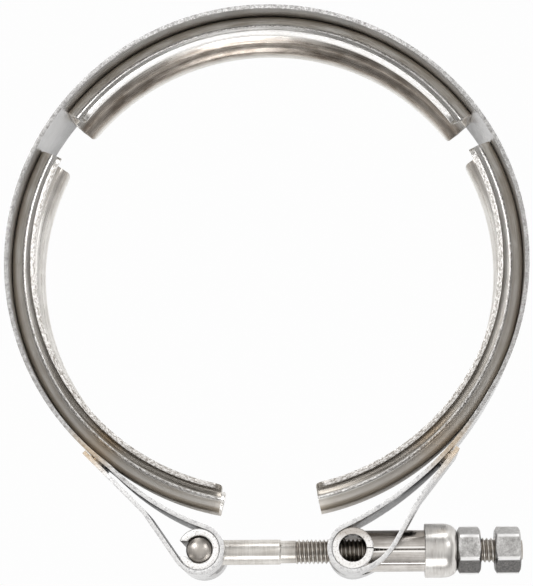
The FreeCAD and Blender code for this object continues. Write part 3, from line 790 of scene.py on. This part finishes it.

# %% [markdown]
# ## Finishes
#
# All of it is bare stainless steel, but every piece was worked in its own way. A material
# here is a metal whose colour, roughness and bump come from noise stretched along the
# direction of working. Sheared edges, heat tint, and painted highlights and painted shade
# are placed by where a point lies on the clamp. The first cell holds the node helpers that
# all of them share.

# %% Helpers for finishes
class Nodes:
    """Short ways to add nodes to the tree of a material or of the world."""

    def __init__(self, owner):
        owner.use_nodes = True
        self.tree = owner.node_tree

    def node(self, kind, **settings):
        added = self.tree.nodes.new(kind)
        for key, value in settings.items():
            setattr(added, key, value)
        return added

    def feed(self, socket, value):
        """Link another node's output to a socket, or give it a plain value."""
        if isinstance(value, bpy.types.NodeSocket):
            self.tree.links.new(value, socket)
        else:
            socket.default_value = value

    def fill(self, node, sockets):
        for key, value in sockets.items():
            self.feed(node.inputs[key], value)

    def wire(self, kind, *values, **settings):
        """A node with its first sockets fed, and its first output."""
        added = self.node(kind, **settings)
        for socket, value in zip(added.inputs, values):
            self.feed(socket, value)
        return added.outputs[0]

    def math(self, operation, *values):
        return self.wire("ShaderNodeMath", *values, operation=operation)

    def size(self, value):
        """A value without its sign."""
        return self.math("ABSOLUTE", value)

    def times(self, first, *others):
        for other in others:
            first = self.math("MULTIPLY", first, other)
        return first

    def plus(self, first, *others):
        for other in others:
            first = self.math("ADD", first, other)
        return first

    def spread(self, value, low, high, to_low=0.0, to_high=1.0):
        """Map a range onto another, held at both ends."""
        return self.wire("ShaderNodeMapRange", value, low, high, to_low, to_high)

    def ramp(self, value, stops):
        """A colour for each value: stops of (place, (red, green, blue))."""
        added = self.node("ShaderNodeValToRGB")
        self.feed(added.inputs[0], value)
        elements = added.color_ramp.elements
        while len(elements) < len(stops):
            elements.new(0.5)
        for element, (at, colour) in zip(elements, stops):
            element.position = at
            element.color = (*colour, 1)
        return added.outputs[0]

    def mix(self, factor, first, second):
        """The first colour at 0, the second at 1."""
        added = self.node("ShaderNodeMix", data_type="RGBA")
        pair = [(*end, 1) if isinstance(end, tuple) else end for end in (first, second)]
        self.fill(added, {0: factor, 6: pair[0], 7: pair[1]})
        return added.outputs[2]

    def shade(self, value, low, high, dark, light):
        """A dark colour below a range of the value and a light one above it."""
        return self.mix(self.spread(value, low, high), dark, light)

    def seen(self):
        """1 where the camera looks straight at the surface, 0 in reflections and light."""
        return self.node("ShaderNodeLightPath").outputs["Is Camera Ray"]


class Finish(Nodes):
    """A metal material. Places on the piece are in millimetres."""

    def __init__(self, name):
        self.material = bpy.data.materials.new(name)
        super().__init__(self.material)
        self.steel = self.tree.nodes["Principled BSDF"]
        self.steel.inputs["Metallic"].default_value = 1.0
        self.place = self.node("ShaderNodeTexCoord").outputs["Object"]
        split = self.node("ShaderNodeSeparateXYZ")
        self.feed(split.inputs[0], self.place)
        self.axes = [self.times(axis, 1000.0) for axis in split.outputs]

    def noise(self, scale, detail=3.0, rough=0.55, vector=None):
        added = self.node("ShaderNodeTexNoise")
        self.fill(added, {"Vector": vector or self.place, "Scale": scale, "Detail": detail,
                          "Roughness": rough})
        return added.outputs["Fac"]

    def streaks(self, axes, scales, detail=4.0, rough=0.6):
        """Noise drawn out along the axes with the smaller scales, which are per millimetre."""
        stretched = [self.times(axis, scale) for axis, scale in zip(axes, scales)]
        vector = self.wire("ShaderNodeCombineXYZ", *stretched)
        return self.noise(1.0, detail, rough, vector)

    def reach(self, first, second):
        """The distance from the origin of a plane with these two axes."""
        squares = self.plus(self.times(first, first), self.times(second, second))
        return self.math("SQRT", squares)

    def polar(self):
        """Distance round the ring, radius and height."""
        x, y, z = self.axes
        return self.times(self.math("ARCTAN2", y, x), 62.0), self.reach(x, y), z

    def near(self, point, radius, fade):
        """1 within a radius of a point, falling to 0 over the fade."""
        added = self.node("ShaderNodeVectorMath", operation="DISTANCE")
        self.feed(added.inputs[0], self.place)
        added.inputs[1].default_value = Vector(point) * MM
        away = self.times(added.outputs["Value"], 1000.0)
        return self.spread(away, radius, radius + fade, 1.0, 0.0)

    def band_of(self, value, middle, half, fade):
        """1 where a value is within half of its middle, fading out over the fade."""
        away = self.size(self.math("SUBTRACT", value, middle))
        return self.spread(away, half, half + fade, 1.0, 0.0)

    def finish(self, colour, roughness, height, bump_mm, strength):
        """Colour, roughness and bump of the steel."""
        bump = self.node("ShaderNodeBump")
        self.fill(bump, {"Strength": strength, "Distance": bump_mm * MM, "Height": height})
        self.fill(self.steel, {
            "Base Color": colour, "Roughness": roughness, "Normal": bump.outputs[0]})
        return self.material


def dress(obj, material):
    """Give a piece one material."""
    obj.data.materials.clear()
    obj.data.materials.append(material)


# %% [markdown]
# ### The band's sheet
#
# Cold rolled strip is satin on its faces, with faint lines along its length. Its edges were
# sheared: they are rough and catch the light in specks, and the ring's are darker than the
# loops', which bending drew bright. Towards the ring's left and right sides its edges are
# drawn darker still. Welding left a straw tint round the plugs.

# %% Finish of the band
RING_EDGE = [
    (0.38, (0.26, 0.25, 0.25)), (0.47, (0.47, 0.465, 0.46)), (0.60, (0.80, 0.80, 0.80))]
LOOP_EDGE = [
    (0.35, (0.38, 0.38, 0.39)), (0.44, (0.60, 0.60, 0.605)), (0.54, (0.76, 0.76, 0.76))]
STRIP_DARK, STRIP_LIGHT = (0.49, 0.49, 0.495), (0.58, 0.58, 0.58)
SIDE_EDGE_DARK, HEAT_TINT = (0.16, 0.155, 0.15), (0.50, 0.36, 0.20)
HEATED = (((-43.5, -47.5, 8.0), 7.0), ((44.2, -47.5, 8.0), 8.0))  # place, fade


def band_finish():
    steel = Finish("band_sheet_steel")
    around, radius, height = steel.polar()
    lines = steel.streaks((around, radius, height), (0.05, 0.3, 9.0), rough=0.55)
    cloud = steel.noise(90.0)
    specks = steel.noise(2600.0, 4.0, 0.75)
    pits = steel.noise(900.0, 2.0, 0.6)
    grain = steel.plus(steel.times(specks, 0.7), steel.times(pits, 0.3))
    # The ring's edges are darkened towards its left and right sides.
    aside = steel.spread(steel.size(steel.axes[0]), 28.0, 55.0, 0.0, 0.42)
    ring_edge = steel.mix(aside, steel.ramp(grain, RING_EDGE), SIDE_EDGE_DARK)
    edge_colour = steel.shade(radius, 63.8, 65.0, ring_edge, steel.ramp(grain, LOOP_EDGE))
    tint = steel.math("MAXIMUM", *(steel.near(at, 1.5, fade) for at, fade in HEATED))
    tint = steel.times(tint, steel.spread(cloud, 0.35, 0.6, 0.35, 0.8))
    edge = steel.spread(steel.size(height), 10.8, 10.9)
    colour = steel.mix(edge, steel.shade(cloud, 0.3, 0.7, STRIP_DARK, STRIP_LIGHT), edge_colour)
    colour = steel.mix(tint, colour, HEAT_TINT)
    rough = steel.plus(steel.spread(lines, 0.3, 0.7, 0.24, 0.40), steel.times(edge, 0.16))
    bumps = steel.plus(steel.times(lines, 0.35), steel.times(specks, edge, 2.2))
    return steel.finish(colour, rough, bumps, 0.03, 0.55)


band_steel = band_finish()
for half in (band_left, band_right):
    dress(half, band_steel)
print("band finish on", band_left.name, band_right.name)

# %% [markdown]
# ### The retainers
#
# Rolling drew the sheet round the ring, so the finish runs that way. The stretched bead
# and the cropped edges of the lips came out coarse and bright. Between them the steel is
# smoother. The upper legs are straw coloured and painted lighter, and the legs are darker
# and browner right by the back. Nearer the bolt a painted highlight runs along the legs,
# with painted shade at their foot, and the flare carries painted shade. Away from the bolt
# the lower leg seen inside the V carries painted shade and the lips' edges a painted
# highlight. Masks over the section and along Y place each of these.

# %% Finish of the retainers
SMOOTH = (0.64, 0.625, 0.60), (0.80, 0.79, 0.77)
# The upper legs: a straw colour, raised lighter as painted light.
LIGHTENED_STRAW_LEG = (0.62, 0.57, 0.50), (0.95, 0.93, 0.89)
# Painted shade on the lower leg seen inside the V, away from the bolt.
FAR_LEG_SHADE = (0.22, 0.185, 0.155), (0.44, 0.40, 0.36)
# Painted shade on the flare inside the bead, on the side nearer the bolt.
FLARE_SHADE = (0.20, 0.18, 0.155), (0.46, 0.43, 0.39)
# Darker and browner on the legs right by the back.
ROOT = (0.34, 0.285, 0.22), (0.56, 0.51, 0.44)
# The second colour is a painted highlight on the lips' edges away from the bolt.
FAR_LIP, LIP_HIGHLIGHT = (0.88, 0.86, 0.81), (0.93, 0.925, 0.92)
# Across the legs nearer the bolt: a painted highlight in the middle and painted shade by the
# back.
PAINTED_LEG_LIGHT = [
    (0.0, (0.36, 0.33, 0.30)), (0.30, (0.58, 0.55, 0.51)), (0.62, (1.0, 0.98, 0.95)),
    (0.80, (0.50, 0.45, 0.39)), (1.0, (0.16, 0.13, 0.10))]
COARSE = [(0.36, (0.22, 0.20, 0.18)), (0.46, (0.48, 0.46, 0.44)), (0.58, (0.92, 0.91, 0.90))]


def retainer_finish():
    steel = Finish("retainer_rolled_steel")
    along = steel.axes[1]
    around, radius, height = section = steel.polar()
    level = steel.size(height)
    lines = steel.streaks(section, (0.11, 4.0, 4.0))
    cloud = steel.streaks(section, (0.16, 0.5, 0.5), 3.0, 0.55)
    specks = steel.streaks(section, (1.3, 3.2, 3.2), 4.0, 0.7)

    root = steel.spread(radius, 60.8, 62.1)
    bead = steel.times(steel.band_of(radius, BEAD_RADIUS, 0.16, 0.25),
                       steel.spread(level, 6.2, 6.6))
    lip_edge = steel.spread(level, LIP_TOP - 0.45, LIP_TOP - 0.1)
    coarse = steel.math("MAXIMUM", bead, steel.times(lip_edge, 0.8))
    # The side nearer the bolt, where the legs carry painted light and shade.
    low = steel.spread(along, 25.0, -30.0)
    # The side away from the bolt, where the lips' edges carry a painted highlight.
    high = steel.spread(along, 22.0, 46.0)
    leg = steel.times(steel.spread(radius, BEAD_RADIUS + 0.4, BEAD_RADIUS + 0.7),
                      steel.spread(height, 4.0, 4.8))
    # Where the painted shade goes: the lower leg inside the V, away from the bolt.
    far_leg_shade = steel.times(steel.band_of(height, -6.4, 1.1, 0.9), steel.spread(along, 12.0, 34.0))
    far_lip = steel.spread(height, -8.3, -8.9)
    # Painted shade: the flare nearer the bolt.
    flare = steel.times(steel.spread(radius, BEAD_RADIUS - 0.2, BEAD_RADIUS - 0.5),
                        steel.spread(height, 5.4, 6.2), low)

    # Where that painted highlight and shade go: the upper legs nearer the bolt.
    leg_light_mask = steel.times(leg, low, steel.spread(cloud, 0.3, 0.7, 0.55, 0.95))
    leg_light_ramp = steel.ramp(steel.spread(radius, 59.6, 62.3), PAINTED_LEG_LIGHT)
    mottle = steel.times(steel.plus(lines, cloud), 0.5)
    colour = steel.shade(cloud, 0.3, 0.7, *SMOOTH)
    for mask, laid_on in (
        (leg, steel.shade(mottle, 0.4, 0.6, *LIGHTENED_STRAW_LEG)),
        (leg_light_mask, leg_light_ramp),
        (far_leg_shade, steel.shade(cloud, 0.35, 0.65, *FAR_LEG_SHADE)),
        (far_lip, FAR_LIP),
        (flare, steel.shade(lines, 0.35, 0.65, *FLARE_SHADE)),
        (root, steel.shade(lines, 0.3, 0.7, *ROOT)),
        (coarse, steel.ramp(specks, COARSE)),
        (steel.times(lip_edge, high, 0.8), LIP_HIGHLIGHT),
    ):
        colour = steel.mix(mask, colour, laid_on)
    rough = steel.plus(steel.spread(lines, 0.3, 0.7, 0.20, 0.38), steel.times(coarse, 0.14),
                       steel.times(leg, 0.34))
    bumps = steel.plus(steel.times(lines, 0.5), steel.times(specks, coarse, 3.0))
    return steel.finish(colour, rough, bumps, 0.035, 0.6)


retainer_steel = retainer_finish()
for piece in retainers:
    dress(piece, retainer_steel)
print("retainer finish on", len(retainers), "pieces")

# %% [markdown]
# ### Bolt, sleeve, trunnion, cap and nuts
#
# Turned pieces carry fine rings about the bolt's axis. The cap and the trunnion were
# drawn and half polished, so their marks are faint and long. The nuts are plain satin with
# small pits. One function makes them all from how strong its marks are and which way
# they run, and adds what only some of them have.

# %% Finish of the hardware
SPECKS = [(0.36, (0.50, 0.48, 0.46)), (0.44, (0.88, 0.87, 0.86)), (0.52, (1.0, 1.0, 1.0))]
# The first colour is painted shade in the thread's roots, the second painted shade on the bar's
# domed ends, the third a painted dark reflection on the barrel's side towards the ring.
THREAD_ROOT_SHADE, BAR_END_SHADE, RING_SIDE_REFLECTION = (0.20, 0.17, 0.14), (0.36, 0.33, 0.30), (0.33, 0.28, 0.23)
UNDERSIDE_SHADE = (0.09, 0.088, 0.088), (0.17, 0.165, 0.16)
# Painted highlights: the first on the nuts' corners, the second beside the trunnion's seam.
CORNER_HIGHLIGHT, SEAM_HIGHLIGHT = (0.90, 0.90, 0.90), (1.0, 0.99, 0.98)


def hardware_finish(name, dark, light, marks, roughness, bump, edge_specks=0.0, ring_side_reflection=0.0,
                    milled=False, seam=0.0, bolt_shade=0.0):
    """Marks are scales per millimetre along the bolt, about it and across it. Milled steel
    has pitted faces, painted highlights on its corners and painted shade on its underside.
    Beside a seam the steel carries painted highlights. The bolt gets painted shade in its
    thread's roots and on its bar's ends, the barrel a painted dark reflection towards the ring."""
    steel = Finish(name)
    x, y, z = steel.axes
    y = steel.math("SUBTRACT", y, AXIS_Y)
    far = steel.reach(y, z)
    level = steel.size(z)
    lines = steel.streaks((x, y, z), marks)
    pits = steel.noise(2400.0, 3.0, 0.7)
    blotches = pits if milled else steel.noise(260.0)
    mottle = steel.plus(steel.times(lines, 0.5), steel.times(blotches, 0.5))
    colour = steel.shade(mottle, 0.38, 0.62, dark, light)
    rough = steel.spread(lines, 0.3, 0.7, *roughness)
    bumps = steel.times(lines, 0.6)
    if edge_specks:
        rim = steel.spread(level, 10.35, 10.6)
        colour = steel.mix(steel.times(rim, edge_specks), colour, steel.ramp(pits, SPECKS))
        bumps = steel.plus(bumps, steel.times(pits, rim, 2.5))
        rough = steel.plus(rough, steel.times(rim, 0.15))
    if bolt_shade:
        # Painted shade in the thread's roots.
        root_shade_mask = steel.times(steel.spread(far, 2.8, 2.5), steel.spread(x, 4.0, 5.0), bolt_shade)
        colour = steel.mix(root_shade_mask, colour, THREAD_ROOT_SHADE)
        # Painted shade on the bar's domed ends inside the sleeve.
        colour = steel.mix(steel.spread(level, 7.5, 8.2, 0.0, 0.6), colour, BAR_END_SHADE)
    if milled:
        # Painted shade on the nuts' side away from the ring.
        colour = steel.mix(steel.spread(y, -2.2, -2.6), colour,
                           steel.shade(pits, 0.4, 0.6, *UNDERSIDE_SHADE))
        # Painted highlights on the nuts' corners.
        colour = steel.mix(steel.spread(far, 5.45, 5.62, 0.0, 0.8), colour, CORNER_HIGHLIGHT)
        bumps = steel.plus(bumps, pits)
    if seam:
        # Painted highlights on the rounded edges beside the seam.
        beside = steel.times(steel.band_of(steel.size(y), 0.48, 0.10, 0.14),
                             steel.spread(z, 3.6, 4.2), steel.spread(z, 6.0, 5.4), seam)
        colour = steel.mix(beside, colour, SEAM_HIGHLIGHT)
    # A painted dark reflection of the ring on the barrel's side towards it.
    if ring_side_reflection:
        colour = steel.mix(steel.times(steel.spread(y, 1.6, 3.6), ring_side_reflection), colour, RING_SIDE_REFLECTION)
    return steel.finish(colour, rough, bumps, 0.02, bump)


turned_steel = hardware_finish(
    "bolt_turned_steel", (0.50, 0.475, 0.44), (0.68, 0.66, 0.63), marks=(5.0, 0.25, 0.25),
    roughness=(0.28, 0.42), bump=0.35, bolt_shade=0.75)
sleeve_steel = hardware_finish(
    "sleeve_rolled_steel", (0.52, 0.51, 0.49), (0.70, 0.69, 0.68), marks=(0.8, 0.8, 0.2),
    roughness=(0.24, 0.38), bump=0.5, edge_specks=0.9)
trunnion_steel = hardware_finish(
    "trunnion_polished_steel", (0.40, 0.375, 0.35), (0.62, 0.595, 0.57),
    marks=(0.08, 1.6, 1.6), roughness=(0.12, 0.22), bump=0.2, edge_specks=0.9, ring_side_reflection=0.6,
    seam=0.85)
cap_steel = hardware_finish(
    "cap_polished_steel", (0.50, 0.48, 0.46), (0.69, 0.68, 0.66), marks=(2.6, 0.3, 0.3),
    roughness=(0.26, 0.38), bump=0.35)
nut_steel = hardware_finish(
    "nut_satin_steel", (0.28, 0.275, 0.27), (0.54, 0.535, 0.53), marks=(1.4, 0.9, 0.9),
    roughness=(0.30, 0.44), bump=0.6, milled=True)
for obj, material in ((shank, turned_steel), (sleeve, sleeve_steel), (trunnion, trunnion_steel),
                      (cap, cap_steel), (clamp_nut, nut_steel), (lock_nut, nut_steel)):
    dress(obj, material)
    print(obj.name, "is", material.name)

# %% [markdown]
# ## Floor, light and camera
#
# The clamp lies flat on a pale floor and is seen from above, a little from the bolt's side.
# Steel shows what is round it, so the light is large and soft, with darker sides that draw
# its edges. The floor and the world look white to the camera without adding light.

# %% Floor
FLOOR_GLOW, SEEN_WHITE = 0.32, 0.985


def white_floor():
    """A light table under the band's lower edge: it glows evenly in the steel above it."""
    clear_selection()
    bpy.ops.mesh.primitive_grid_add(x_subdivisions=4, y_subdivisions=4, size=3,
                                    location=(0, 0, cad_box[0][2] - 0.0001))
    floor = bpy.context.object
    floor.name = "floor"
    paint = bpy.data.materials.new("floor_white")
    nodes = Nodes(paint)
    shader = nodes.tree.nodes["Principled BSDF"]
    nodes.fill(shader, {
        "Base Color": (0.86, 0.86, 0.86, 1), "Roughness": 0.9, "Specular IOR Level": 0.0,
        "Emission Color": (1, 1, 1, 1), "Emission Strength": FLOOR_GLOW})
    glow = nodes.wire("ShaderNodeEmission", (1, 1, 1, 1), SEEN_WHITE)
    blend = nodes.wire("ShaderNodeMixShader", nodes.seen(), shader.outputs[0], glow)
    nodes.fill(nodes.tree.nodes["Material Output"], {"Surface": blend})
    floor.data.materials.append(paint)
    return floor


floor = white_floor()
print("floor at z", round(floor.location.z / MM, 2), "mm")

# %% [markdown]
# The world is a tent of light, brightest at the horizon and overhead. Between them it is
# darker, as the room is, darkest in front and lighter at both sides. That gives the
# polished pieces their dark lines and keeps the walls of the ring from going flat.

# %% World
TENT = [(0.0, 1.0), (0.12, 0.9), (0.3, 0.5), (0.55, 0.22), (0.76, 0.34), (0.91, 0.9), (1.0, 1.05)]
WARM = (1, 0.985, 0.965)


def studio_world():
    """The tent's grey by height, dimmed in front and raised aside. The camera sees white."""
    world = bpy.data.worlds.new("studio")
    tent = Nodes(world)
    split = tent.node("ShaderNodeSeparateXYZ")
    tent.feed(split.inputs[0], tent.node("ShaderNodeTexCoord").outputs["Generated"])
    x, y, z = split.outputs
    grey = tent.ramp(z, [(at, tuple(level * part for part in WARM)) for at, level in TENT])
    front = tent.spread(y, -0.75, -0.2, 0.55, 1.0)
    sides = tent.spread(tent.size(x), 0.4, 0.8, 1.0, 1.9)
    seen = tent.seen()
    tent.fill(tent.tree.nodes["Background"], {
        "Color": tent.mix(seen, grey, (SEEN_WHITE,) * 3),
        "Strength": tent.spread(seen, 0.0, 1.0, tent.times(front, sides), 1.0)})
    bpy.context.scene.world = world


studio_world()
bpy.context.scene.view_settings.view_transform = "Standard"
print("tent with", len(TENT), "levels of light")

# %% [markdown]
# Four soft boxes add the highlights: two overhead, a wide one in front for the bolt and
# the outside of the loops, and one behind for the inner walls near the bolt.

# %% Lamps
LAMPS = {  # place and size in metres, power in watts
    "key": ((-0.45, 0.35, 0.75), 0.3, 2.2),
    "fill": ((0.5, 0.3, 0.75), 0.25, 1.2),
    "front": ((0.1, -0.8, 0.5), 0.4, 2.4),
    "back": ((0.22, 0.85, 0.42), 0.3, 1.6),
}


def softbox(name, place, size, power):
    """A square area lamp that points at the clamp."""
    data = bpy.data.lights.new(name, "AREA")
    data.energy = power
    data.size = size
    lamp = bpy.data.objects.new(name, data)
    lamp.location = place
    lamp.rotation_euler = (-Vector(place)).to_track_quat("-Z", "Y").to_euler()
    bpy.context.collection.objects.link(lamp)


for name, (place, size, power) in LAMPS.items():
    softbox(name, place, size, power)
print(len(LAMPS), "lamps set")

# %% [markdown]
# The camera stands a little over half a metre away with a long lens, so both the front
# and the back edge of each wall can be seen, but only just. It is aimed by turning it
# about the clamp and then moving it sideways in its own plane.

# %% Camera
SENSOR = 36


def place_camera(tilt, pan, roll, distance, aim, lens):
    """A camera above the clamp, tilted towards the bolt's side. Angles in degrees."""
    t, p, r = (math.radians(a) for a in (tilt, pan, roll))
    back = Vector((math.sin(p), -math.sin(t) * math.cos(p), math.cos(t) * math.cos(p)))
    right = Vector((0, 1, 0)).cross(back).normalized()
    up = back.cross(right)
    turned_right = right * math.cos(r) + up * math.sin(r)
    turned_up = up * math.cos(r) - right * math.sin(r)
    data = bpy.data.cameras.new("camera")
    data.lens = lens
    data.sensor_width = SENSOR
    camera = bpy.data.objects.new("camera", data)
    place = (turned_right * aim[0] + turned_up * aim[1] + back * distance) * MM
    turn = Matrix((turned_right, turned_up, back)).transposed().to_4x4()
    camera.matrix_world = Matrix.Translation(place) @ turn
    bpy.context.collection.objects.link(camera)
    bpy.context.scene.camera = camera
    return camera


camera = place_camera(tilt=11.09, pan=2.07, roll=-0.35, distance=546.0, aim=(-0.2, -6.9),
                      lens=135.95)
print("camera at", [round(v / MM, 1) for v in camera.matrix_world.translation])
